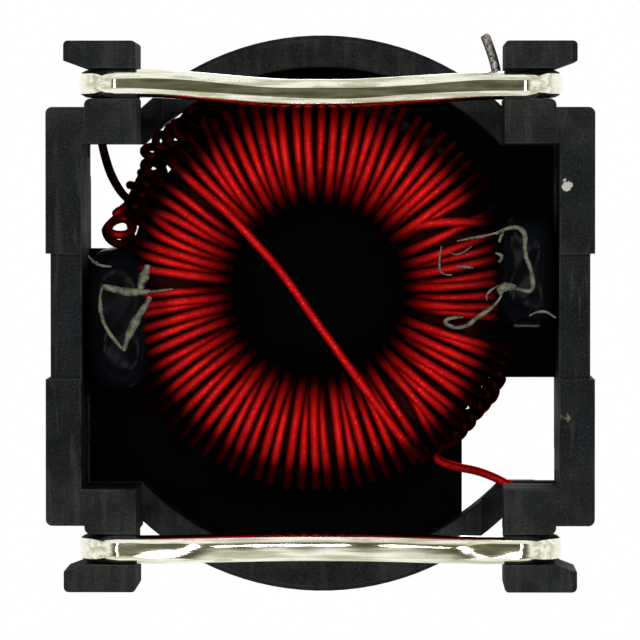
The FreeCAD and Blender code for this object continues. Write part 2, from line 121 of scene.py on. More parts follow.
# %% Finish helper
class Finish:
    """A node material: its shader, and the places on the piece that its patterns start from."""

    def __init__(self, name):
        self.material = bpy.data.materials.new(name)
        self.material.use_nodes = True
        self.tree = self.material.node_tree
        self.shader = self.tree.nodes["Principled BSDF"]
        self.place = self.add("TexCoord", output="Object")

    def add(self, kind, inputs=None, output=0, **settings):
        """One node of the kind, with its settings and inputs, and the output that is asked for."""
        made = self.tree.nodes.new("ShaderNode" + kind)
        for key, value in settings.items():
            setattr(made, key, value)
        for key, value in (inputs or {}).items():
            self.put(made.inputs[key], value)
        return made.outputs[output]

    def put(self, socket, value):
        """A link where the value comes from a node, and a plain setting where it doesn't."""
        if isinstance(value, bpy.types.NodeSocket):
            self.tree.links.new(value, socket)
        else:
            socket.default_value = value

    def surface(self, **values):
        """What goes into the shader, with _ for a space in a socket's name."""
        for key, value in values.items():
            self.put(self.shader.inputs[key.replace("_", " ")], value)

    def number(self, operation, *values):
        """Arithmetic on one, two or three numbers."""
        return self.add("Math", dict(enumerate(values)), operation=operation)

    def stretched(self, scale):
        """The object's own coordinates, in metres, with a factor for each axis: a pattern that
        is read from them is drawn out along an axis whose factor is small."""
        return self.add("Mapping", {"Vector": self.place, "Scale": scale})

    def grain(self, size_mm, detail=2.0, place=None, rough=0.5):
        """Noise between 0 and 1 whose lumps are about that size."""
        values = {"Vector": place or self.place, "Scale": 1 / (size_mm * MM), "Detail": detail,
                  "Roughness": rough}
        return self.add("TexNoise", values)

    def rising(self, value, low, high, to_low=0.0, to_high=1.0):
        """to_low where the value is under low, to_high over high, and a soft step in between."""
        values = {"Value": value, "From Min": low, "From Max": high, "To Min": to_low,
                  "To Max": to_high}
        return self.add("MapRange", values, interpolation_type="SMOOTHSTEP")

    def rising_mm(self, value, edge_mm, to_low=0.0, to_high=1.0):
        """The same for a value in metres, with both ends of the step in millimetres."""
        low, high = edge_mm
        return self.rising(value, low * MM, high * MM, to_low, to_high)

    def blend(self, share, first, second):
        """The first colour where the share is 0, and the second where it is 1."""
        node = self.tree.nodes.new("ShaderNodeMix")
        node.data_type = "RGBA"
        for socket, value in ((node.inputs[0], share), (node.inputs[6], first),
                              (node.inputs[7], second)):
            self.put(socket, value)
        return node.outputs[2]

    def bump(self, height, depth_mm, below=None):
        """A bent normal, as if the height were that many millimetres."""
        values = {"Height": height, "Distance": depth_mm * MM, "Strength": 1.0}
        if below:
            values["Normal"] = below
        return self.add("Bump", values)

    def near(self, point_mm, radius_mm):
        """1 within the radius of a point on the piece, falling softly to 0 at its edge."""
        point = tuple(c * MM for c in point_mm)
        gap = self.add("VectorMath", {0: self.place, 1: point}, output="Value",
                       operation="DISTANCE")
        return self.rising(gap, 0.6 * radius_mm * MM, radius_mm * MM, 1.0, 0.0)


def grey(value):
    """An even grey."""
    return (value, value, value, 1.0)


def dress(node, finish):
    """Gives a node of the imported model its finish, in each slot of its mesh."""
    mesh = nodes[node].data
    if not mesh.materials:
        mesh.materials.append(finish.material)
    for slot in range(len(mesh.materials)):
        mesh.materials[slot] = finish.material
    print("finish on", node)

# %% [markdown]
# ## The room
#
# Small glossy parts are shot between white cards, on a light table.  The world is that room.
# The camera and clear things see plain white.  Polished metal sees the light table above the
# part, where its back is, and a ring of cards all round it, and the part of the room straight
# below is dark: it draws the grey band along a flat of polished tin, and the cards draw its
# white rims.  An evenly white world would be simpler, but polished tin would then be white all
# over.  The floor is one-sided: seen from above it is pale paper that takes the part's shadow,
# and seen from below it isn't there, so that the board's side stays open to view.

# %% World
EVEN_LIGHT = 0.05               # the light that comes evenly from all round
DARK_ROOM = (0.11, 0.11, 0.07, 1.0)  # the colour of the dark part of the room, for metal
DARK_CONE, DARK_RIM = -0.87, -0.62  # how far along Z a direction points where the dark part is


def make_world():
    """White to the camera, white with a dark part below to metal, and a soft even light."""
    world = bpy.data.worlds.new("room")
    world.use_nodes = True
    tree = world.node_tree
    tree.nodes.clear()

    def add(kind, **settings):
        made = tree.nodes.new("ShaderNode" + kind)
        for key, value in settings.items():
            setattr(made, key, value)
        return made

    path, place, split = add("LightPath"), add("TexCoord"), add("SeparateXYZ")
    edge, shade = add("MapRange", interpolation_type="SMOOTHSTEP"), add("Mix", data_type="RGBA")
    seen, plain, choose = add("Math", operation="MAXIMUM"), add("MixShader"), add("MixShader")
    even, cards, white = add("Background"), add("Background"), add("Background")
    out = add("OutputWorld")
    join = tree.links.new
    join(place.outputs["Generated"], split.inputs[0])
    edge.inputs["From Min"].default_value = DARK_CONE
    edge.inputs["From Max"].default_value = DARK_RIM
    join(split.outputs["Z"], edge.inputs["Value"])
    join(edge.outputs[0], shade.inputs["Factor"])
    shade.inputs[6].default_value = DARK_ROOM
    shade.inputs[7].default_value = even.inputs["Color"].default_value = (1.0, 1.0, 1.0, 1.0)
    white.inputs["Color"].default_value = (1.0, 1.0, 1.0, 1.0)
    join(shade.outputs[2], cards.inputs["Color"])
    even.inputs["Strength"].default_value = EVEN_LIGHT
    join(path.outputs["Is Glossy Ray"], plain.inputs[0])
    join(even.outputs[0], plain.inputs[1])
    join(cards.outputs[0], plain.inputs[2])
    join(path.outputs["Is Camera Ray"], seen.inputs[0])
    join(path.outputs["Is Transmission Ray"], seen.inputs[1])
    join(seen.outputs[0], choose.inputs[0])
    join(plain.outputs[0], choose.inputs[1])
    join(white.outputs[0], choose.inputs[2])
    join(choose.outputs[0], out.inputs["Surface"])
    return world


scene.world = make_world()

# %% [markdown]
# ### The lamps
#
# Eight small soft lamps stand in a ring on the board's side, close round the line from which the
# part is looked at, so that each turn gets its own short highlight and no hard shadow falls into
# the pocket.  One large lamp would give a single broad shine.  Two wider ones light the disc.

# %% Lamps
# Each lamp: the way it comes from round the part, how high (under 0 is from the board's side),
# how far off, how wide, and its power.
LAMPS = {
    "ring_1": (0.0, -71.0, 0.40, 0.06, 0.175),
    "ring_2": (45.0, -71.0, 0.40, 0.06, 0.180),
    "ring_3": (90.0, -71.0, 0.40, 0.06, 0.215),
    "ring_4": (135.0, -71.0, 0.40, 0.06, 0.200),
    "ring_5": (180.0, -71.0, 0.40, 0.06, 0.190),
    "ring_6": (225.0, -71.0, 0.40, 0.06, 0.195),
    "ring_7": (270.0, -71.0, 0.40, 0.06, 0.205),
    "ring_8": (315.0, -71.0, 0.40, 0.06, 0.190),
    "key_above": (-60.0, 50.0, 0.35, 0.20, 1.10),
    "fill_above": (120.0, 42.0, 0.40, 0.20, 0.70),
}


def lamp(name, azimuth, elevation, distance, width, watts):
    """A square soft lamp that looks at the middle of the part from a direction."""
    turn, tilt = np.radians([azimuth, elevation])
    back = np.array([np.cos(turn) * np.cos(tilt), np.sin(turn) * np.cos(tilt), np.sin(tilt)])
    side = unit(np.cross([0.0, 0.0, 1.0], back))
    data = bpy.data.lights.new(name, "AREA")
    data.size, data.energy = width, watts
    light = bpy.data.objects.new(name, data)
    pose = np.eye(4)
    pose[:3, :3] = np.stack([side, np.cross(back, side), back], axis=1)
    pose[:3, 3] = back * distance
    light.matrix_world = Matrix(pose.tolist())
    scene.collection.objects.link(light)


for name, values in LAMPS.items():
    lamp(name, *values)
print("lamps:", ", ".join(LAMPS))

# %% [markdown]
# ## Surfaces from numbers
#
# Every new piece is a grid of points: one direction runs along the piece and one round it.  Such
# a grid could be modelled by hand and subdivided.  Written as a formula of two numbers it comes
# out exact, and a change to a size never leaves a seam behind.

# %% From a grid to a mesh
def grid_faces(rows, columns, wrapped):
    """Quads of a grid: each joins two rows and two columns, and where the grid is wrapped the
    last column is joined to the first."""
    i = np.arange(rows - 1)[:, None] * columns
    j = np.arange(columns if wrapped else columns - 1)[None]
    k = (j + 1) % columns
    return np.stack([i + j, i + k, i + columns + k, i + columns + j], axis=-1).reshape(-1, 4)


def closed_faces(rows, columns):
    """Quads of a grid that is closed round, and a flat cap on its first and on its last row."""
    last = (rows - 1) * columns
    caps = [list(range(columns))[::-1], list(range(last, last + columns))]
    return grid_faces(rows, columns, True).tolist() + caps


def new_piece(name, points_mm, faces, finish, slot, **marks):
    """A smooth-shaded mesh at the origin, with its points in metres.  Each mark is one number
    for every point, which the finish can read by the mark's name."""
    mesh = bpy.data.meshes.new(name)
    mesh.from_pydata((points_mm * MM).tolist(), [], faces)
    mesh.validate()
    mesh.shade_smooth()
    for mark, values in marks.items():
        layer = mesh.attributes.new(mark, "FLOAT", "POINT")
        layer.data.foreach_set("value", np.ascontiguousarray(values, dtype=np.float32).ravel())
    mesh.materials.append(finish.material)
    piece = bpy.data.objects.new(name, mesh)
    scene.collection.objects.link(piece)
    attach(piece, "root")
    print("%s: %d faces" % (name, len(mesh.polygons)))
    return piece


# %% [markdown]
# ### Wires
#
# A wire is a circle carried along a path.  A curve with a bevel makes one too, but the finish of
# the thin wire needs a number on each point of its mesh, so the circles are worked out here.

# %% A pipe along a path
def frames_along(path):
    """Three axes at each station: ahead, and two across that never spin about it.

    Any normal is taken at each station.  Each is carried to the next by the least turn that takes
    one heading to the other, the angle by which it then misses the next one is measured, and the
    running sum of those angles is taken back out."""
    ahead = unit(np.gradient(path, axis=0))
    least = np.eye(3)[np.argmin(np.abs(ahead), axis=1)]
    any_side = unit(np.cross(ahead, least))
    here, there = ahead[:-1], ahead[1:]
    turn = np.cross(here, there)
    cosine = np.sum(here * there, axis=1, keepdims=True)
    carried = any_side[:-1] + np.cross(turn, any_side[:-1])
    carried += np.cross(turn, np.cross(turn, any_side[:-1])) / (1 + cosine)
    across = np.sum(np.cross(carried, any_side[1:]) * there, axis=1)
    missed = np.arctan2(across, np.sum(carried * any_side[1:], axis=1))
    spin = -np.concatenate([[0.0], np.cumsum(missed)])[:, None]
    other = np.cross(ahead, any_side)
    side = np.cos(spin) * any_side + np.sin(spin) * other
    return ahead, side, np.cross(ahead, side)


def pipe(path, radius, sides):
    """A closed pipe: each station plus the radius times the cosine along one normal and the sine
    along the other, and a flat cap on each end."""
    _, side, other = frames_along(path)
    angle = np.linspace(0, 2 * np.pi, sides, endpoint=False)[None, :, None]
    ring = np.cos(angle) * side[:, None] + np.sin(angle) * other[:, None]
    points = path[:, None] + np.broadcast_to(radius, (len(path),))[:, None, None] * ring
    return points.reshape(-1, 3), closed_faces(len(path), sides)


def cut_corners(points, rounds):
    """A softer path: each run is kept from a quarter to three quarters of its length, again and
    again, so that every corner turns into a curve.  The two ends stay."""
    for _ in range(rounds):
        start, end = points[:-1], points[1:]
        kept = np.stack([0.75 * start + 0.25 * end, 0.25 * start + 0.75 * end], axis=1)
        points = np.concatenate([points[:1], kept.reshape(-1, 3), points[-1:]])
    return points


def even_stations(points, count):
    """The same path with that many stations, each the same length of path after the last."""
    run = np.concatenate([[0.0], np.cumsum(np.linalg.norm(np.diff(points, axis=0), axis=1))])
    at = np.linspace(0, run[-1], count)
    return np.stack([np.interp(at, run, points[:, c]) for c in range(3)], axis=1)

# %% [markdown]
# ## The moulded header
#
# The header is a black thermoset with mineral filler.  Its outer faces have rubbed against
# trays and other parts, and carry a grey bloom; the pocket that the coil sits in is painted
# near-black further in, as painted shade.  It could be one dark grey.  The finish below lays a
# fine grain, a cloudy bloom and flow streaks over each other, paints the pocket's shade, and
# lightens every edge by comparing the true normal with one that is rounded off, which is where
# real edges wear.

# %% Where the coil's middle is
core_low, core_high = box_mm("core")
COIL_X, COIL_Y = (core_low + core_high)[:2] / 2
print("coil's middle: %.2f, %.2f mm" % (COIL_X, COIL_Y))


# %% Finish of the header
# Soft edges in mm, from where each starts to where it is full: the pocket's round wall, its
# straight walls, how deep it is (these three place the pocket's painted shade), and how far
# out the part is handled.
POCKET_R = (11.55, 11.35)
POCKET_X, POCKET_Y = (10.85, 10.7), (7.95, 7.75)
POCKET_DEPTH = (0.9, 4.0)
HANDLED_Y = (5.0, 10.0)
# Torn places: where, how large, and the colour of what shows.
TORN = (((11.17, -5.98, 0.55), 0.42, (0.50, 0.51, 0.45, 1)),
        ((11.02, 4.6, 0.55), 0.44, (0.14, 0.13, 0.07, 1)))


def moulding():
    """Black filled thermoset: bloom outside, painted shade in the pocket, worn edges, a few nicks.
    """
    f = Finish("moulding")
    x, y, z = (f.add("SeparateXYZ", {0: f.place}, output=k) for k in range(3))
    grain = f.grain(0.09, 4.0)
    clouds = f.grain(1.6, 5.0, rough=0.6)
    streaks = f.grain(1.0, 3.0, place=f.stretched((2.4, 0.22, 0.4)))

    across = f.number("SQRT", f.number("ADD", f.number("MULTIPLY", x, x),
                                       f.number("MULTIPLY", y, y)))
    inside = f.rising_mm(across, POCKET_R)
    from_x, from_y = f.number("ABSOLUTE", x), f.number("ABSOLUTE", y)
    between = f.number("MULTIPLY", f.rising_mm(from_x, POCKET_X), f.rising_mm(from_y, POCKET_Y))
    deep = f.rising_mm(z, POCKET_DEPTH)
    true = f.add("NewGeometry", output="True Normal")
    not_back = f.rising(f.add("SeparateXYZ", {0: true}, output=2), 0.6, 0.3)
    # Painted shade: the pocket's walls and floor, darker the deeper they lie, but not faces that
    # look away from the board.
    pocket = f.number("MULTIPLY", f.number("MAXIMUM", inside, between),
                      f.number("MULTIPLY", deep, not_back))
    handled = f.rising_mm(from_y, HANDLED_Y)

    rounded = f.add("Bevel", {"Radius": 0.09 * MM}, samples=6)
    match = f.add("VectorMath", {0: rounded, 1: true}, output="Value", operation="DOT_PRODUCT")
    edge = f.rising(match, 0.999, 0.93)
    worn = f.number("MULTIPLY", edge, f.rising(clouds, 0.35, 0.6))

    middle = f.blend(f.rising(clouds, 0.3, 0.7), (0.009, 0.010, 0.010, 1), (0.017, 0.019, 0.019, 1))
    ends = f.blend(f.rising(clouds, 0.3, 0.7), (0.015, 0.016, 0.016, 1), (0.031, 0.034, 0.031, 1))
    bloom = f.blend(handled, middle, ends)
    bloom = f.blend(f.rising(streaks, 0.56, 0.66, 0.0, 0.6), bloom, (0.012, 0.015, 0.021, 1))
    bloom = f.blend(f.rising(streaks, 0.44, 0.34, 0.0, 0.5), bloom, (0.040, 0.043, 0.038, 1))
    bloom = f.blend(f.rising(grain, 0.56, 0.72, 0.0, 0.5), bloom, (0.060, 0.063, 0.056, 1))
    bloom = f.blend(f.rising(grain, 0.44, 0.30, 0.0, 0.8), bloom, (0.004, 0.005, 0.006, 1))
    bloom = f.blend(f.number("MULTIPLY", worn, 0.6), bloom, (0.085, 0.088, 0.080, 1))
    # The pocket is painted near-black: painted shade.
    colour = f.blend(pocket, bloom, (0.0005, 0.0005, 0.0008, 1))

    ragged = f.grain(0.45, 4.0, rough=0.6)
    for place, size, tint in TORN:
        torn = f.number("ADD", f.near(place, size), f.number("MULTIPLY", ragged, 1.6))
        colour = f.blend(f.rising(torn, 1.72, 1.86), colour, tint)

    rough = f.rising(clouds, 0.3, 0.7, 0.50, 0.68)
    lumps = f.bump(clouds, 0.02, rounded)
    f.surface(Base_Color=colour, Roughness=rough, Normal=f.bump(grain, 0.02, lumps))
    f.shader.inputs["Specular IOR Level"].default_value = 0.008
    return f


dress("header", moulding())


# %% [markdown]
# ## The core and the solder
#
# Little of the core shows: its rim in the bore and what can be seen between the turns.  Such
# rings are coated with epoxy, here a red so dark that it is almost black, with painted shade
# that turns it black towards its outside.  The imported core has
# bevelled rims, and round turns that hug a ring would cut into them, so a ring with rounded rims
# stands in for it: a section carried once round the axis.  A torus from the add menu has a round
# section, and this one has to be an oblong.  The two solder beads have frozen on the backs of the
# terminals, bright, with the fine creases of tin that cools.

# %% Finish of the core
# Painted shade: from here out the coat is painted near-black, where the outer turns shade it.
CORE_OUTSIDE = (6.9, 7.8)       # mm from the axis: here the coat goes over to black


def core_coat():
    """A dark coat on pressed powder, dull, with a fine pebble; painted shade blackens its outside.
    """
    f = Finish("core_coat")
    from_axis = f.add("VectorMath", {0: f.place, 1: (COIL_X * MM, COIL_Y * MM, 0.0)},
                      operation="SUBTRACT")
    flat_place = f.add("VectorMath", {0: from_axis, 1: (1.0, 1.0, 0.0)}, operation="MULTIPLY")
    across = f.add("VectorMath", {0: flat_place}, output="Value", operation="LENGTH")
    pebble, dust = f.grain(0.22, 3.0), f.grain(1.2, 4.0)
    colour = f.blend(pebble, (0.011, 0.0012, 0.0014, 1), (0.024, 0.0026, 0.0028, 1))
    colour = f.blend(f.rising(dust, 0.6, 0.8, 0.0, 0.5), colour, (0.040, 0.006, 0.006, 1))
    # Painted shade towards the core's outside.
    outside = f.rising_mm(across, CORE_OUTSIDE, 0.0, 0.92)
    colour = f.blend(outside, colour, (0.0012, 0.0008, 0.0010, 1))
    f.surface(Base_Color=colour, Roughness=f.rising(dust, 0.3, 0.7, 0.45, 0.7),
              Normal=f.bump(pebble, 0.03))
    f.shader.inputs["Specular IOR Level"].default_value = 0.002
    return f


# %% The core
RIM_POWER = 2.3                 # how square the ring's section is: 2 is an oval
RING_ROWS, RING_COLUMNS = 48, 160


def core_ring(low, high, bore):
    """A ring with softly rounded rims, as points and faces.

    Its section is a rounded oblong between the bore and the outside: one over the n-th root of
    the sum of the n-th powers of the cosine over its half width and the sine over its half
    height.  The section is carried once round the axis, and both ends of both ways meet."""
    outside = (high - low)[0] / 2
    half_r, half_z = (outside - bore) / 2, (high - low)[2] / 2
    over_it = np.linspace(0, 2 * np.pi, RING_ROWS, endpoint=False)[:, None]
    round_it = np.linspace(0, 2 * np.pi, RING_COLUMNS, endpoint=False)[None]
    reach = (np.abs(np.cos(over_it) / half_r) ** RIM_POWER
             + np.abs(np.sin(over_it) / half_z) ** RIM_POWER) ** (-1 / RIM_POWER)
    radius = (outside + bore) / 2 + reach * np.cos(over_it)
    height = (low + high)[2] / 2 + reach * np.sin(over_it) + 0 * round_it
    points = np.stack([COIL_X + radius * np.cos(round_it), COIL_Y + radius * np.sin(round_it),
                       height], axis=-1)
    faces = grid_faces(RING_ROWS + 1, RING_COLUMNS, True) % (RING_ROWS * RING_COLUMNS)
    return points.reshape(-1, 3), faces.tolist()


core_points = np.array([v.co for v in nodes["core"].data.vertices]) / MM
BORE_R = np.hypot(core_points[:, 0] - COIL_X, core_points[:, 1] - COIL_Y).min()
points, faces = core_ring(core_low, core_high, BORE_R)
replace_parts(new_piece("core_ring", points, faces, core_coat(), "powder_core"), "core")


# %% Finish of the solder
def frozen_solder():
    """Bright tin with fine creases and a few dull, sooty places."""
    f = Finish("frozen_solder")
    creases, dull = f.grain(0.16, 5.0, rough=0.65), f.grain(0.5, 3.0)
    colour = f.blend(f.rising(dull, 0.5, 0.7), (0.62, 0.61, 0.56, 1), (0.30, 0.29, 0.25, 1))
    f.surface(Base_Color=colour, Roughness=f.rising(dull, 0.4, 0.7, 0.22, 0.5),
              Normal=f.bump(creases, 0.025))
    f.shader.inputs["Metallic"].default_value = 1.0
    return f


solder_finish = frozen_solder()
for bead in ("solder_a", "solder_b"):
    dress(bead, solder_finish)

# %% [markdown]
# ## The winding
#
# The whole winding is one wire: a lead, 46 turns one way round the ring, a run straight across
# the bore, 38 turns on the other half, and a lead again.  A screw modifier could give a perfect
# coil.  A real one isn't perfect: there is no room in the bore for 84 wires side by side, so
# every other turn is pushed out and rides on its neighbours there, each leans its own way, and
# a few stand off the core.  So each turn is a rounded oblong with its own height, lean and slack,
# worked out for all turns at once, and one pipe is carried along the lot.  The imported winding
# takes its leads straight to the coil; here they first lie in loose loops beside it.

# %% Sizes of the winding
rng = np.random.default_rng(84)
WIRE_R = 0.2
LAY_GAP = 0.03
RING_OUT = (core_high - core_low)[0] / 2 + LAY_GAP + WIRE_R
RING_IN = BORE_R - LAY_GAP - WIRE_R
MID_R, HALF_R = (RING_OUT + RING_IN) / 2, (RING_OUT - RING_IN) / 2
MID_Z = (core_low + core_high)[2] / 2
HALF_Z = (core_high - core_low)[2] / 2 + LAY_GAP + WIRE_R
RIDE = 0.33                     # how far the upper layer rides over the lower in the bore
CROWN = 0.22                    # how far the middle of a turn stands off the core's faces
STATIONS = 56                   # points on the path of one turn
WIRE_SIDES = 10
print("bore radius %.2f mm, turns from r %.2f to %.2f mm" % (BORE_R, RING_IN, RING_OUT))


# %% How the turns lie
# The turns lean, seen from the board's side: their inner ends are this many degrees further
# round than their outer ends, at these angles round the ring.
LEAN_AT = [0, 40, 70, 110, 150, 178, 196, 235, 255, 272, 290, 325, 360]
LEAN_BY = [2.0, 0.3, -0.8, 1.2, 2.4, 2.2, -2.0, -2.6, -3.2, -0.4, 1.4, 0.2, 2.0]
# Resin has drawn the turns apart at these angles, by this many degrees to each side.
PARTED_AT = (12.5, 182.0, 334.0)
PARTED_BY = (3.1, 2.6, 1.6)
PARTED_REACH = 11.0             # degrees over which the neighbours close up again
# Around this angle the turns stand loosely off the core's side.
LOOSE_AT, LOOSE_REACH, LOOSE_BY = 214.0, 16.0, 0.95
LOOSE_SWING = 3.2               # degrees by which a loose loop swings to either side
# Two turns went astray: the angle of each, its own lean, and how far it rides over the others.
ASTRAY = ((52.5, -6.5, 0.0), (338.0, -13.0, 0.35))


def shortest_way(angle, to):
    """Degrees from one angle to another, between -180 and 180."""
    return (angle - to + 180.0) % 360.0 - 180.0


def parted(angle):
    """Each angle pushed away from the resin, by an amount that dies away with its distance."""
    moved = np.array(angle, float)
    for at, by in zip(PARTED_AT, PARTED_BY):
        away = shortest_way(angle, at)
        moved += by * np.sign(away) * np.exp(-np.abs(away) / PARTED_REACH)
    return moved


def turn_path(first, last, turns, direction, entry, odd):
    """Stations along one half of the winding, as an array of points.

    Seen from the middle of the wound section, a turn's distance in each direction is that of a
    rounded oblong: one over the n-th root of the sum of the n-th powers of the cosine over its
    half width and the sine over its half height.  The direction goes once round per turn, down
    the outside first where it is 1, and up first where it is -1.  Every other turn is wider on
    the bore's side and stands out further there.  On each face the angle round the ring goes
    over from the outer end's to the inner end's."""
    outer = parted(np.linspace(first, last, turns) + rng.normal(0, 0.35, turns))
    if direction > 0:
        after = np.append(outer[1:], last + (last - first) / (turns - 1))
        before = outer
    else:
        before = np.append(entry, outer[:-1])
        after = outer
    lean = np.interp(outer % 360.0, LEAN_AT, LEAN_BY) + rng.normal(0, 0.85, turns)
    upper = (np.arange(turns) + odd) % 2
    lift = np.abs(rng.normal(0, 0.05, turns))
    for at, own_lean, own_lift in ASTRAY:
        nearest = np.argmin(np.abs(shortest_way(outer, at)))
        if abs(shortest_way(outer[nearest], at)) < 2.5:
            lean[nearest], lift[nearest] = own_lean, own_lift
    loose = 0.08 + np.abs(rng.normal(0, 0.05, turns + 1))
    at = np.append(before, after[-1])
    loose_here = np.exp(-(shortest_way(at, LOOSE_AT) / LOOSE_REACH) ** 2)
    loose += LOOSE_BY * loose_here * rng.uniform(0.25, 1.0, turns + 1)
    swing = rng.normal(0, LOOSE_SWING, turns + 1) * loose_here

    way = np.linspace(0, 2 * np.pi, STATIONS, endpoint=False)[None]
    upper, lift, lean = upper[:, None], lift[:, None], lean[:, None]
    inward = smooth((0.45 - np.cos(way)) / 1.25)
    power = np.where(np.cos(way) < 0, 2.3 - 0.1 * upper, 2.05)
    half_r = HALF_R + RIDE * upper * (np.cos(way) < 0)
    half_z = HALF_Z + CROWN + lift + RIDE * upper * inward
    reach = (np.abs(np.cos(way) / half_r) ** power
             + np.abs(np.sin(way) / half_z) ** power) ** (-1 / power)
    slack = np.where(way < np.pi, loose[:-1, None], loose[1:, None])
    radius = MID_R + reach * np.cos(way) + slack * np.clip(np.cos(way), 0, 1) ** 3
    height = MID_Z - direction * reach * np.sin(way)
    across = smooth((1 - reach * np.cos(way) / half_r) / 2)
    bottom = outer[:, None] + lean * across
    top_from, top_to = (after if direction > 0 else before)[:, None], outer[:, None] + lean
    top = top_from + (top_to - top_from) * across
    on_board_side = (way < np.pi) if direction > 0 else (way >= np.pi)
    swung = np.where(way < np.pi, swing[:-1, None], swing[1:, None])
    swung = swung * np.clip(np.cos(way), 0, 1) ** 2
    angle = np.radians(np.where(on_board_side, bottom, top) + swung)
    points = np.stack([COIL_X + radius * np.cos(angle), COIL_Y + radius * np.sin(angle),
                       height + 0 * angle], axis=-1)
    return points.reshape(-1, 3)


# %% [markdown]
# ### The leads
#
# The leads and the run across the bore go where hands have put them, so they are points set one
# by one.  Their loose loops repeat, and have a formula.

# %% Leads and the run across the bore
def round_coil(angle, radius, height):
    """A point given by its angle round the coil, its distance from the axis and its height."""
    turn = np.radians(angle)
    return [COIL_X + radius * np.cos(turn), COIL_Y + radius * np.sin(turn), height]


def loose_loops(first, last, count, from_axis, height, size, tall, lean):
    """A stretch of wire in loose loops beside the coil, from one angle round it to another.

    Each loop is an oval: its distance from the axis goes with the cosine of the way round the
    loop, its height with the sine, and its angle round the coil leans with the sine too.  The
    distance, the size and the lean are given as values spread evenly from the first loop to the
    last."""
    along = np.linspace(0, 1, 12 * count + 1)
    turn = 2 * np.pi * count * along
    even = [np.interp(along, np.linspace(0, 1, len(values)), values)
            for values in (from_axis, size, lean)]
    angle = first + (last - first) * along + even[2] * np.sin(turn + 0.4 * np.sin(0.7 * turn))
    radius = even[0] + even[1] * np.cos(turn)
    return [round_coil(*place) for place in zip(angle, radius, height + tall * np.sin(turn))]


FIRST_A, LAST_A, TURNS_A = 52.5, -134.4, 46
FIRST_B, LAST_B, TURNS_B = 56.2, 215.5, 38
LEAD_Z = 1.43                   # behind the terminals' feet
OVER_HOOK_Z = 6.62
CROSSED_TO = 57.8               # the angle at which the run across the bore leaves the board side

start_lead = [
    [5.08, 10.51, LEAD_Z], [6.6, 10.54, LEAD_Z], [7.9, 10.56, LEAD_Z], [8.08, 10.56, 1.7],
    [8.08, 10.56, 4.0], [8.08, 10.56, 6.3], [8.4, 10.56, OVER_HOOK_Z],
    [9.9, 10.56, OVER_HOOK_Z], [10.5, 10.2, 6.75], [10.4, 9.3, 6.95], [9.4, 8.4, 7.15],
    [8.3, 7.75, 7.2], [7.2, 7.3, 7.1], [6.1, 7.12, 6.7], round_coil(56.0, 9.5, 6.5),
    round_coil(52.0, 9.3, 6.6), round_coil(40.0, 9.2, 6.5), round_coil(28.0, 9.2, 6.3),
    *loose_loops(24.0, 49.0, 7, [9.12, 9.2, 9.1, 9.18, 9.1], 4.5,
                 [0.24, 0.30, 0.22, 0.28], 0.9, [1.8, 2.6, 1.6, 2.2]),
    round_coil(FIRST_A, RING_OUT + 0.08, 4.9),
]
crossing = [
    round_coil(221.3, RING_OUT + 0.1, 3.4),
    round_coil(221.0, RING_OUT - 0.1, 2.2), round_coil(221.0, 8.3, 1.9),
    round_coil(221.0, 7.3, 1.70), round_coil(221.1, 6.2, 1.35), [-4.1, -4.6, 1.2],
    [-3.05, -3.45, 1.15], [-2.0, -2.3, 1.15], [-1.15, -1.15, 1.15], [-0.33, 0.05, 1.15],
    [0.55, 1.25, 1.15], [1.45, 2.5, 1.15], [2.4, 3.8, 1.15], [3.4, 5.15, 1.2],
    round_coil(59.6, 8.1, 1.45), round_coil(58.4, 8.8, 1.85),
    round_coil(CROSSED_TO, RING_OUT + 0.15, 2.8),
]
finish_lead = [
    round_coil(LAST_B, RING_OUT + 0.3, 5.0), round_coil(208.0, 9.3, 5.0),
    *loose_loops(200.0, 195.5, 2, [9.45, 9.55], 4.0, [0.50, 0.60], 0.9, [2.6, 3.4]),
    round_coil(203.0, 9.6, 6.3), round_coil(214.0, 9.8, 6.5), round_coil(226.0, 9.8, 6.4),
    *loose_loops(234.0, 206.0, 8, [9.45, 9.5, 9.6, 9.8, 9.8, 9.35, 9.15, 9.1, 9.2], 4.1,
                 [0.68, 0.55, 0.40, 0.52, 0.36, 0.46], 1.0, [3.6, 3.2, 2.0, 2.8, 1.9, 2.4]),
    round_coil(205.5, 9.5, 5.6), [-9.15, -5.4, 6.2],
    [-9.75, -6.3, 6.8], [-10.1, -7.3, 7.15], [-10.35, -8.5, 7.15], [-10.55, -9.7, 6.9],
    [-10.4, -10.45, 6.65], [-9.6, -10.56, OVER_HOOK_Z], [-8.3, -10.56, OVER_HOOK_Z],
    [-8.08, -10.56, 6.3], [-8.08, -10.56, 4.0], [-8.08, -10.56, 1.7], [-7.9, -10.56, LEAD_Z],
    [-6.9, -10.5, LEAD_Z], [-3.5, -10.28, LEAD_Z], [0.0, -10.12, LEAD_Z], [3.5, -10.22, LEAD_Z],
    [7.4, -10.42, LEAD_Z], [8.05, -10.5, LEAD_Z], [8.0, -11.1, LEAD_Z], [7.85, -11.7, 1.35],
    [7.6, -12.4, 1.0], [7.47, -12.69, 0.83],
]

half_a = turn_path(FIRST_A, LAST_A, TURNS_A, 1, None, 0)
half_b = turn_path(FIRST_B, LAST_B, TURNS_B, -1, CROSSED_TO, 1)
ends_a, ends_b = half_a[[0, -1]], half_b[[0, -1]]
start_points = cut_corners(np.concatenate([start_lead, ends_a[:1]]), 3)[:-1]
crossing_points = cut_corners(np.concatenate([ends_a[1:], crossing, ends_b[:1]]), 3)[1:-1]
finish_points = cut_corners(np.concatenate([ends_b[1:], finish_lead]), 3)[1:]
wire_path = np.concatenate([start_points, half_a, crossing_points, half_b, finish_points])
for _ in range(2):              # each station drawn half way to the middle of its neighbours
    wire_path[1:-1] = 0.5 * wire_path[1:-1] + 0.25 * (wire_path[:-2] + wire_path[2:])
run = np.concatenate([[0.0], np.cumsum(np.linalg.norm(np.diff(wire_path, axis=0), axis=1))])
print("wire: %d stations, %.0f mm" % (len(wire_path), run[-1]))
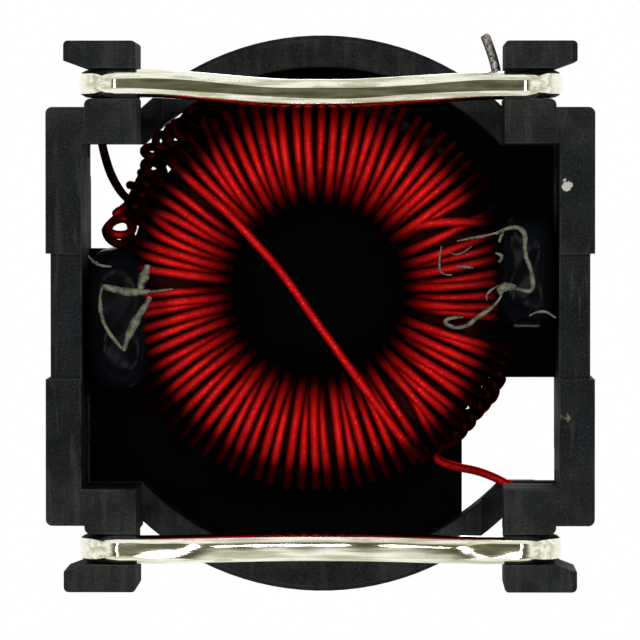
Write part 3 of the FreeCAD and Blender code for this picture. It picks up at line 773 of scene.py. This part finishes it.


# %% [markdown]
# ### Red enamel
#
# The enamel is a clear red lacquer over copper: deep red where it is looked through at a slant,
# orange where the copper shines up through it, with scuffs from the winding machine.  The last
# stretch of wire has been through the solder pot, so its enamel is gone and it is grey with tin.
# A mark carried by the points says where.  A second mark paints shade on the leads, on the
# turns' outer sides near the board and on their ends in the bore, and darkens the wire where
# resin wets it.

# %% Finish of the wire
def enamel():
    """Red lacquer over copper, painted shade, wet under resin, and tin on the stripped end."""
    f = Finish("red_enamel")
    scuffs = f.grain(0.13, 4.0, rough=0.7)
    tones = f.grain(0.9, 3.0)
    layer = f.add("Attribute", output="Fac", attribute_name="turn_tone")
    stripped = f.add("Attribute", output="Fac", attribute_name="stripped")
    darkened = f.add("Attribute", output="Fac", attribute_name="darkened")
    colour = f.blend(f.rising(tones, 0.3, 0.7), (0.34, 0.0042, 0.0044, 1),
                     (0.46, 0.0100, 0.0090, 1))
    colour = f.blend(layer, colour, (0.22, 0.0014, 0.0038, 1))
    colour = f.blend(f.rising(scuffs, 0.60, 0.72, 0.0, 0.7), colour, (0.10, 0.001, 0.002, 1))
    colour = f.blend(f.rising(scuffs, 0.44, 0.32, 0.0, 0.6), colour, (0.72, 0.030, 0.020, 1))
    # Painted shade on the leads, the turns' outer sides and their ends in the bore, and the darker
    # wet wire under the resin.
    colour = f.blend(darkened, colour, (0.012, 0.0016, 0.0015, 1))
    tin = f.blend(f.rising(scuffs, 0.4, 0.6), (0.42, 0.42, 0.40, 1), (0.06, 0.06, 0.055, 1))
    f.surface(Base_Color=f.blend(stripped, colour, tin),
              Roughness=f.rising(scuffs, 0.4, 0.75, 0.52, 0.66),
              Normal=f.bump(scuffs, 0.016))
    f.shader.inputs["Metallic"].default_value = 1.0
    f.shader.inputs["Specular Tint"].default_value = (0.45, 0.02, 0.02, 1.0)
    return f


# %% The wire itself
STRIPPED_MM = 3.2               # the tinned end of the wire
# Where the painted shade on the turns' outer sides sets in:
OUTER_EDGE, OUTER_SOFT = 7.45, 0.85     # mm from the axis, and over how many mm it sets in
RESIN_OVER_WIRE = (((8.2, -1.9), 3.2), ((-9.0, -0.3), 2.6))  # middle and reach of each patch


def patches(step_mm, low, high):
    """A random number every so many millimetres of wire, and an even change in between."""
    at = np.arange(0, run[-1], step_mm)
    return np.interp(run, at, rng.uniform(low, high, len(at)))


tone_of_turn = patches(9.0, 0, 0.55)
stripped_share = smooth((run - (run[-1] - STRIPPED_MM)) / 0.5)
in_lead = smooth((run[len(start_points)] - run) / 2.0)
out_lead = smooth((run - run[-len(finish_points)]) / 2.0)
under_resin = [smooth((reach - np.hypot(*(wire_path[:, :2] - middle).T)) / 0.8)
               for middle, reach in RESIN_OVER_WIRE]
lower_layer = np.concatenate([
    np.zeros(len(start_points)), np.repeat((np.arange(TURNS_A) + 1) % 2, STATIONS),
    np.zeros(len(crossing_points)), np.repeat(np.arange(TURNS_B) % 2, STATIONS),
    np.zeros(len(finish_points))])
# Painted shade on the lower layer's inner ends, where the upper layer shades them, by a random
# share.
fade_of_turn = lower_layer * patches(19.0, 0.15, 0.75)
from_axis = np.hypot(*(wire_path[:, :2] - [COIL_X, COIL_Y]).T)
at_outside = smooth((from_axis - OUTER_EDGE) / OUTER_SOFT)
outer_side = at_outside * (1 - smooth((wire_path[:, 2] - 4.5) / 1.5))
inner_end = fade_of_turn * smooth((6.0 - from_axis) / 1.0)
steepness = np.abs(unit(np.gradient(wire_path, axis=0))[:, 2])
inner_tip = 0.88 * smooth((steepness - 0.78) / 0.21) * smooth((5.1 - from_axis) / 0.5)
past_first_loops = smooth((run - run[-len(finish_points)] - 9.0) / 3.0)
beside_coil = at_outside * smooth((9.6 - from_axis) / 0.2)
# Painted shade: the leads, the turns' outer sides near the board and their ends in the bore are
# darkened as if in shade; under the resin the wire is darkened as wet.
darkened_share = np.max([0.25 * in_lead, (0.5 + 0.5 * past_first_loops) * out_lead,
                         0.45 * sum(under_resin), 0.96 * outer_side * (1 - out_lead),
                         beside_coil * in_lead, inner_end, inner_tip], axis=0)
swell = WIRE_R * (1 + 0.02 * np.sin(run * 1.7) + 0.10 * stripped_share)
points, faces = pipe(wire_path, swell, WIRE_SIDES)
winding = new_piece("winding_turns", points, faces, enamel(), "enamelled_wire",
                    turn_tone=np.repeat(tone_of_turn, WIRE_SIDES),
                    stripped=np.repeat(stripped_share, WIRE_SIDES),
                    darkened=np.repeat(darkened_share, WIRE_SIDES))
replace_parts(winding, "winding")

# %% [markdown]
# ## The terminals
#
# Each terminal is one thick tinned wire: hooked round a post, along the board, and hooked round
# the next post.  The foot has been pressed between the die and the board's plane, so it has a
# narrow, crisp flat.  A swept circle that is cut by a boolean would do for the first terminal,
# but the second was twisted a little when it was bent, and its flat winds round the wire.  So
# each section below is a circle with a chord, and the chord can be turned along the wire.

# %% Sizes of the terminals
TIN_R = 0.645
HOOK_END_X = 8.7
HOOK_BEND_R = 0.45 + TIN_R      # middle line of the tight bends at a hook
FOOT_BEND_R = 1.10 + TIN_R      # and of the wide ones at the ends of a foot
FOOT_STATIONS = 420
FLAT_COLUMNS, ROUND_COLUMNS = 9, 35     # points across the flat and round the rest
LEAST_SHARE = np.radians(9)     # the flat's columns keep this half angle where there is no flat


def hooked_line(node, bow, sway):
    """The middle line of a terminal: hook, leg, foot, leg, hook, with the foot bowed inwards.

    Along half of the wire the heading turns evenly through each bend, so it is read from a table
    of headings against lengths, and the running sum of the short steps along it gives the
    places.  The other half is the mirror image."""
    low, high = box_mm(node)
    leg, top, foot = high[0] - TIN_R, high[2] - TIN_R, low[2] + TIN_R - 0.1
    inwards = 1.0 if low[1] < 0 else -1.0
    y = (low[1] + TIN_R) if low[1] < 0 else (high[1] - TIN_R)
    lengths = [leg - HOOK_BEND_R - HOOK_END_X, HOOK_BEND_R * np.pi / 2,
               top - foot - HOOK_BEND_R - FOOT_BEND_R, FOOT_BEND_R * np.pi / 2,
               leg - FOOT_BEND_R]
    marks = np.concatenate([[0.0], np.cumsum(lengths)])
    run = np.linspace(0, marks[-1], FOOT_STATIONS // 2 + 1)
    heading = np.interp((run[1:] + run[:-1]) / 2, marks, np.radians([0, 0, -90, -90, -180, -180]))
    steps = run[1] * np.stack([np.cos(heading), 0 * heading, np.sin(heading)], axis=1)
    half = np.array([HOOK_END_X, y, top]) + np.concatenate([0 * steps[:1], np.cumsum(steps, 0)])
    line = np.concatenate([half, half[-2::-1] * [-1, 1, 1]])
    x, on_foot = line[:, 0], smooth((foot + 0.5 - line[:, 2]) / 0.5)
    bowed = bow * smooth((8.2 - np.abs(x)) / 7.4) + sway * smooth((x - 2.0) / 5.0)
    line[:, 1] += inwards * bowed * on_foot
    return line, on_foot


def pressed_wire(line, tilt, depth, flatness):
    """A round wire with a flat: each section is a circle with a chord.

    The chord faces the board, turned round the wire by the tilt, and half of it spans the angle
    whose cosine is the radius less the pressed depth, over the radius.  A point within that angle
    goes back along the chord's normal, by a share of the way to the chord that is the flatness,
    and the other points share the rest of the circle evenly.  A section that reaches below the
    board is lifted on to it."""
    ahead = unit(np.gradient(line, axis=0))
    across = unit(np.array([0.0, 1.0, 0.0]) - ahead * ahead[:, 1:2])
    outward = np.cross(ahead, across)
    facing = (np.pi / 2 - np.arctan(tilt))[:, None]
    half = np.maximum(np.arccos(1 - depth / TIN_R), LEAST_SHARE)[:, None]
    flat = facing + half * np.linspace(-1, 1, FLAT_COLUMNS)[None]
    share = np.arange(1, ROUND_COLUMNS + 1)[None] / (ROUND_COLUMNS + 1)
    angle = np.concatenate([flat, facing + half + 2 * (np.pi - half) * share], axis=1)
    over = flatness * np.clip(TIN_R * np.cos(angle - facing) - (TIN_R - depth)[:, None], 0, None)
    aside = TIN_R * np.cos(angle) - over * np.cos(facing)
    down = TIN_R * np.sin(angle) - over * np.sin(facing)
    points = line[:, None] + aside[..., None] * across[:, None] + down[..., None] * outward[:, None]
    points[..., 2] -= np.minimum(points[..., 2].min(axis=1, keepdims=True), 0)
    return points.reshape(-1, 3), closed_faces(len(line), FLAT_COLUMNS + ROUND_COLUMNS)


def bent(line):
    """1 round the bends at the ends of a foot and down its legs, where the wire was drawn flat
    over the bending tool, 0 along the foot and at the hooks."""
    x, z = np.abs(line[:, 0]), line[:, 2]
    return smooth((x - 9.2) / 0.9) * (1 - smooth((z - 2.4) / 1.5))


# %% [markdown]
# ### Tin
#
# Drawn tin is bright, with faint lines along the wire that only show near the board, where the
# wire was pressed.  A plain mirror would look like chrome.

# %% Finish of the terminals
DRAWN_BELOW = (1.3, 0.7)        # mm over the board: the lines fade in between these


def bright_tin():
    """Drawn tin: bright and warm, faint lines along the wire, a few grey and yellow stains."""
    f = Finish("bright_tin")
    drawn = f.grain(0.26, 4.0, place=f.stretched((0.08, 1.0, 1.0)))
    stains = f.grain(0.6, 4.0, rough=0.6, place=f.stretched((0.3, 1.0, 1.0)))
    specks = f.grain(0.10, 2.0)
    height = f.add("SeparateXYZ", {0: f.place}, output=2)
    streaked = f.rising_mm(height, DRAWN_BELOW, 0.15, 1.0)
    worn = f.number("MULTIPLY", f.rising(drawn, 0.60, 0.38), streaked)
    stained = f.number("MULTIPLY", f.rising(stains, 0.54, 0.66, 0.0, 0.6), streaked)
    colour = f.blend(worn, (0.91, 0.90, 0.76, 1), (0.52, 0.51, 0.36, 1))
    colour = f.blend(stained, colour, (0.42, 0.40, 0.24, 1))
    colour = f.blend(f.rising(specks, 0.66, 0.72, 0.0, 0.5), colour, (0.20, 0.20, 0.17, 1))
    rough = f.rising(stains, 0.4, 0.7, 0.08, 0.13)
    f.surface(Base_Color=colour, Roughness=rough, Normal=f.bump(drawn, 0.006))
    f.shader.inputs["Metallic"].default_value = 1.0
    return f


# %% The two terminals
CREASE = np.radians(13)         # edges sharper than this stay sharp
BEND_DEPTH = 0.19               # how deep the wire is flattened at its bends
tin = bright_tin()


def terminal(node, line, tilt, foot_depth, flatness):
    """The piece for one terminal.  Its pressed depth is the foot's own along the foot, and that
    of the bends where the wire is bent."""
    depth = foot_depth * (1 - bent(line)) + BEND_DEPTH * bent(line)
    points, faces = pressed_wire(line, tilt, depth, flatness)
    name = node.replace("terminal", "terminal_wire")
    piece = new_piece(name, points, faces, tin, "tinned_wire")
    piece.data.set_sharp_from_angle(angle=CREASE)
    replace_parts(piece, node)


line_a, foot_a = hooked_line("terminal_a", 0.45, 0.10)
x_a = line_a[:, 0]
tilt_a = 0.02 * np.sin(0.7 * x_a) * foot_a
terminal("terminal_a", line_a, tilt_a, 0.042 + 0.010 * np.sin(0.9 * x_a + 1.0), 0.95)

line_b, foot_b = hooked_line("terminal_b", 0.12, -0.02)
x_b = line_b[:, 0]
twist_b = smooth((x_b + 8.0) / 4.2) * smooth((8.0 - x_b) / 3.6)
tilt_b = (0.42 * twist_b + 0.05 * np.sin(2.3 * x_b)) * foot_b
terminal("terminal_b", line_b, tilt_b, 0.085 + 0.015 * np.sin(0.8 * x_b), 0.80)

# %% [markdown]
# ## The resin
#
# Two dabs of clear resin hold the coil.  They lie over black plastic and black wire tips, so
# they look black and wet, and what shows is the shine on their ridges, painted on as raised
# threads coloured cream-grey: a painted highlight.  A blob from a fluid simulation would be soft
# all over.  Here a dab is a closed form that is an oblong across and an oblong in depth, with an
# uneven outline, and each thread is a cord along a few points, half sunk in the dab or laid on
# the turns.

# %% Finish of the resin
def wet_resin():
    """Clear resin over black: nearly black, glossy, with a slow ripple and a few bubbles."""
    f = Finish("wet_resin")
    ripple, bubbles = f.grain(1.6, 1.0), f.grain(0.16, 2.0)
    colour = f.blend(ripple, (0.0010, 0.0013, 0.0020, 1), (0.0030, 0.0040, 0.0052, 1))
    colour = f.blend(f.rising(bubbles, 0.72, 0.78, 0.0, 0.5), colour, (0.05, 0.055, 0.05, 1))
    f.surface(Base_Color=colour, Roughness=f.rising(ripple, 0.4, 0.7, 0.14, 0.24),
              Normal=f.bump(ripple, 0.03))
    f.shader.inputs["Specular IOR Level"].default_value = 0.012
    return f


def painted_highlight_threads():
    """Painted highlight on the resin's ridges: cream-grey, creased along, darker in folds."""
    f = Finish("painted_highlight_threads")
    folds, dust = f.grain(0.34, 3.0, rough=0.5), f.grain(0.10, 2.0)
    # The cream-grey is a painted highlight: the shine on the resin's ridges.
    colour = f.blend(f.rising(folds, 0.38, 0.60), (0.040, 0.041, 0.028, 1),
                     (0.145, 0.145, 0.095, 1))
    colour = f.blend(f.rising(dust, 0.60, 0.72, 0.0, 0.4), colour, (0.30, 0.30, 0.24, 1))
    f.surface(Base_Color=colour, Roughness=f.rising(folds, 0.3, 0.7, 0.30, 0.50),
              Normal=f.bump(folds, 0.02))
    f.shader.inputs["Specular IOR Level"].default_value = 0.25
    return f


# %% The dabs
DAB_ROWS, DAB_COLUMNS = 64, 128
POLE_GAP = 0.02                 # radians that the first and last row stay off the poles


def oblong(angle, power):
    """How far a rounded square reaches from its middle at each angle."""
    return (np.abs(np.cos(angle)) ** power + np.abs(np.sin(angle)) ** power) ** (-1 / power)


def dab(low, high, uneven):
    """A closed dab that fills the box from low to high.

    Two angles place each point: one round the dab and one over it, from its board side to its
    back.  The rounded square of the second gives its share of the outline and its depth, and
    that of the first, made uneven by a few waves, gives the outline."""
    middle, half = (np.array(high) + low) / 2, (np.array(high) - low) / 2
    round_it = np.linspace(0, 2 * np.pi, DAB_COLUMNS, endpoint=False)[None]
    over_it = np.linspace(POLE_GAP, np.pi - POLE_GAP, DAB_ROWS)[:, None]
    share = oblong(over_it, 4.5) * np.sin(over_it)
    depth = oblong(over_it, 4.5) * np.cos(over_it)
    k = np.arange(2, 7)[:, None, None]
    waves = uneven / k * (np.sin(k * round_it + rng.uniform(0, 2 * np.pi, k.shape)) - 1)
    edge = oblong(round_it, 3.4) * (1 + waves.sum(0))
    x = middle[0] + half[0] * share * edge * np.cos(round_it)
    y = middle[1] + half[1] * share * edge * np.sin(round_it)
    z = middle[2] - half[2] * depth + 0.05 * np.clip(depth, 0, 1) * np.sin(2.3 * x + 1.9 * y)
    points = np.stack([x, y, z], axis=-1).reshape(-1, 3)
    return points, closed_faces(DAB_ROWS, DAB_COLUMNS)


resin = wet_resin()
points, faces = dab([-10.83, -3.3, 1.95], [-7.55, 3.7, 7.95], 0.03)
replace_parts(new_piece("resin_dab_left", points, faces, resin, "resin"), "adhesive_left")
points, faces = dab([7.85, -4.9, 1.50], [10.83, 0.85, 7.95], 0.04)
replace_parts(new_piece("resin_dab_right", points, faces, resin, "resin"), "adhesive_right")

# %% [markdown]
# ### The threads
#
# The resin's ridges are drawn as raised threads whose cream-grey is a painted highlight.  Their
# lumps come from two slow waves along each thread, so that no two are alike.

# %% The threads
# Each thread, a cord with a painted highlight: its thickest radius, and the points it runs through.
ON_LEFT, ON_RIGHT, ON_COIL = 1.93, 1.48, 1.42
THREADS_LEFT = {
    "brow": (0.06, [[-10.6, -2.75], [-10.3, -2.4], [-9.95, -2.28], [-9.5, -2.25]]),
    "stem": (0.20, [[-7.85, -2.35], [-7.95, -1.95], [-8.15, -1.6], [-8.2, -1.2]]),
    "bar": (0.17, [[-9.95, -1.35], [-9.5, -1.25], [-9.0, -1.12], [-8.4, -1.08], [-7.7, -1.1]]),
    "left_limb": (0.09, [[-9.95, -1.3], [-10.08, -0.8], [-10.0, 0.0], [-9.7, 0.7], [-9.15, 1.4],
                         [-8.95, 1.55]]),
    "right_limb": (0.17, [[-7.75, -0.95], [-7.85, -0.6], [-8.2, -0.15], [-8.45, 0.3],
                          [-8.68, 0.7], [-8.85, 1.2], [-9.0, 1.6]]),
}
THREADS_RIGHT = {
    "rim": (0.105, [[7.95, -3.72], [8.3, -3.95], [8.75, -4.05], [9.1, -4.0], [9.32, -3.7],
                   [9.28, -3.2], [9.33, -2.7], [9.55, -2.2], [9.66, -1.6], [9.66, -1.2],
                   [9.4, -1.12], [8.9, -1.26], [8.5, -1.32]]),
    "knot": (0.18, [[8.9, -1.28], [8.6, -1.35], [8.3, -1.33], [8.12, -1.2], [8.25, -1.0]]),
    "hook": (0.07, [[7.95, -2.88], [8.25, -2.78], [8.25, -2.6], [8.08, -2.45]]),
    "spur": (0.07, [[8.33, -3.9], [8.2, -3.6], [8.12, -3.35]]),
    "glint": (0.055, [[9.5, -0.02], [9.85, -0.22], [10.3, -0.22], [10.72, 0.08]]),
}
THREADS_ON_COIL = {
    "lead_in": (0.055, [[6.2, -3.42], [6.8, -3.55], [7.3, -3.62], [7.85, -3.74], [8.3, -3.93]]),
    "tail": (0.09, [[8.25, -0.98], [8.05, -0.65], [7.8, -0.4], [7.45, -0.15], [7.08, 0.08],
                    [6.72, 0.42], [6.35, 0.52], [6.0, 0.5], [5.62, 0.32], [5.75, 0.12],
                    [6.1, 0.05], [6.5, 0.04]]),
    "second": (0.045, [[8.1, -1.4], [7.75, -1.2], [7.53, -0.96], [7.58, -0.7]]),
    "upright": (0.04, [[5.5, -3.2], [5.42, -2.7], [5.4, -2.2], [5.55, -1.9], [6.0, -1.87]]),
    "rung": (0.05, [[6.2, -2.28], [6.55, -2.25], [6.95, -2.2]]),
    "loop": (0.035, [[5.85, -2.95], [6.1, -2.78], [6.5, -2.9], [6.9, -3.2]]),
    "left_tail": (0.05, [[-7.9, -1.1], [-7.3, -1.16], [-6.7, -1.24]]),
}


def thread(radius, places, height):
    """One cord at a height, thin at its ends, as the points and faces of a closed pipe."""
    places = np.column_stack([places, np.full(len(places), height)])
    path = even_stations(cut_corners(places, 4), 60)
    along = np.linspace(0.02, 0.98, len(path))
    lumps = 1.15 + 0.12 * np.sin(13 * along + 40 * radius) + 0.06 * np.sin(29 * along)
    return pipe(path, radius * np.sin(np.pi * along) ** 0.35 * lumps, 12)


def many(parts):
    """Several pipes as one list of points and one of faces, each numbered on from the last."""
    starts = np.cumsum([0] + [len(points) for points, _ in parts[:-1]])
    faces = [[n + start for n in face] for start, (_, some) in zip(starts, parts) for face in some]
    return np.concatenate([points for points, _ in parts]), faces


cords = [thread(*values, ON_LEFT) for values in THREADS_LEFT.values()]
cords += [thread(*values, ON_RIGHT) for values in THREADS_RIGHT.values()]
cords += [thread(*values, ON_COIL) for values in THREADS_ON_COIL.values()]
points, faces = many(cords)
# Raised threads, coloured cream-grey as a painted highlight.
new_piece("resin_highlight_threads", points, faces, painted_highlight_threads(), "resin")

# %% [markdown]
# ## The floor
#
# Pale paper under the part.  It could be a plane that is simply left out when the camera is
# below, but then the script would have to know the view.  Instead its shader asks which side of
# it is looked at, and which kind of ray is looking.

# %% Floor
FLOOR_HALF = 400.0
FLOOR_Z = -0.02                 # just under the terminals' flats


def one_sided_paper():
    """Pale and dull to the camera from above, and clear from below and to every other ray."""
    f = Finish("one_sided_paper")
    behind = f.add("NewGeometry", output="Backfacing")
    watched = f.add("LightPath", output="Is Camera Ray")
    fibres = f.grain(40.0, 3.0)
    paper = f.add("BsdfDiffuse", {"Color": f.blend(fibres, grey(0.86), grey(0.90))})
    front = f.number("MULTIPLY", watched, f.number("SUBTRACT", 1.0, behind))
    mixed = f.add("MixShader", {0: front, 1: f.add("BsdfTransparent"), 2: paper})
    output = f.tree.nodes["Material Output"]
    f.tree.links.new(mixed, output.inputs["Surface"])
    f.tree.nodes.remove(f.shader)
    return f


side = np.linspace(-FLOOR_HALF, FLOOR_HALF, 9)
floor_points = np.stack([*np.meshgrid(side, side, indexing="ij"), np.full((9, 9), FLOOR_Z)], -1)
floor_mesh = bpy.data.meshes.new("floor")
floor_mesh.from_pydata((floor_points.reshape(-1, 3) * MM).tolist(), [],
                       grid_faces(9, 9, False)[:, ::-1].tolist())
floor_mesh.materials.append(one_sided_paper().material)
floor = bpy.data.objects.new("floor", floor_mesh)
scene.collection.objects.link(floor)
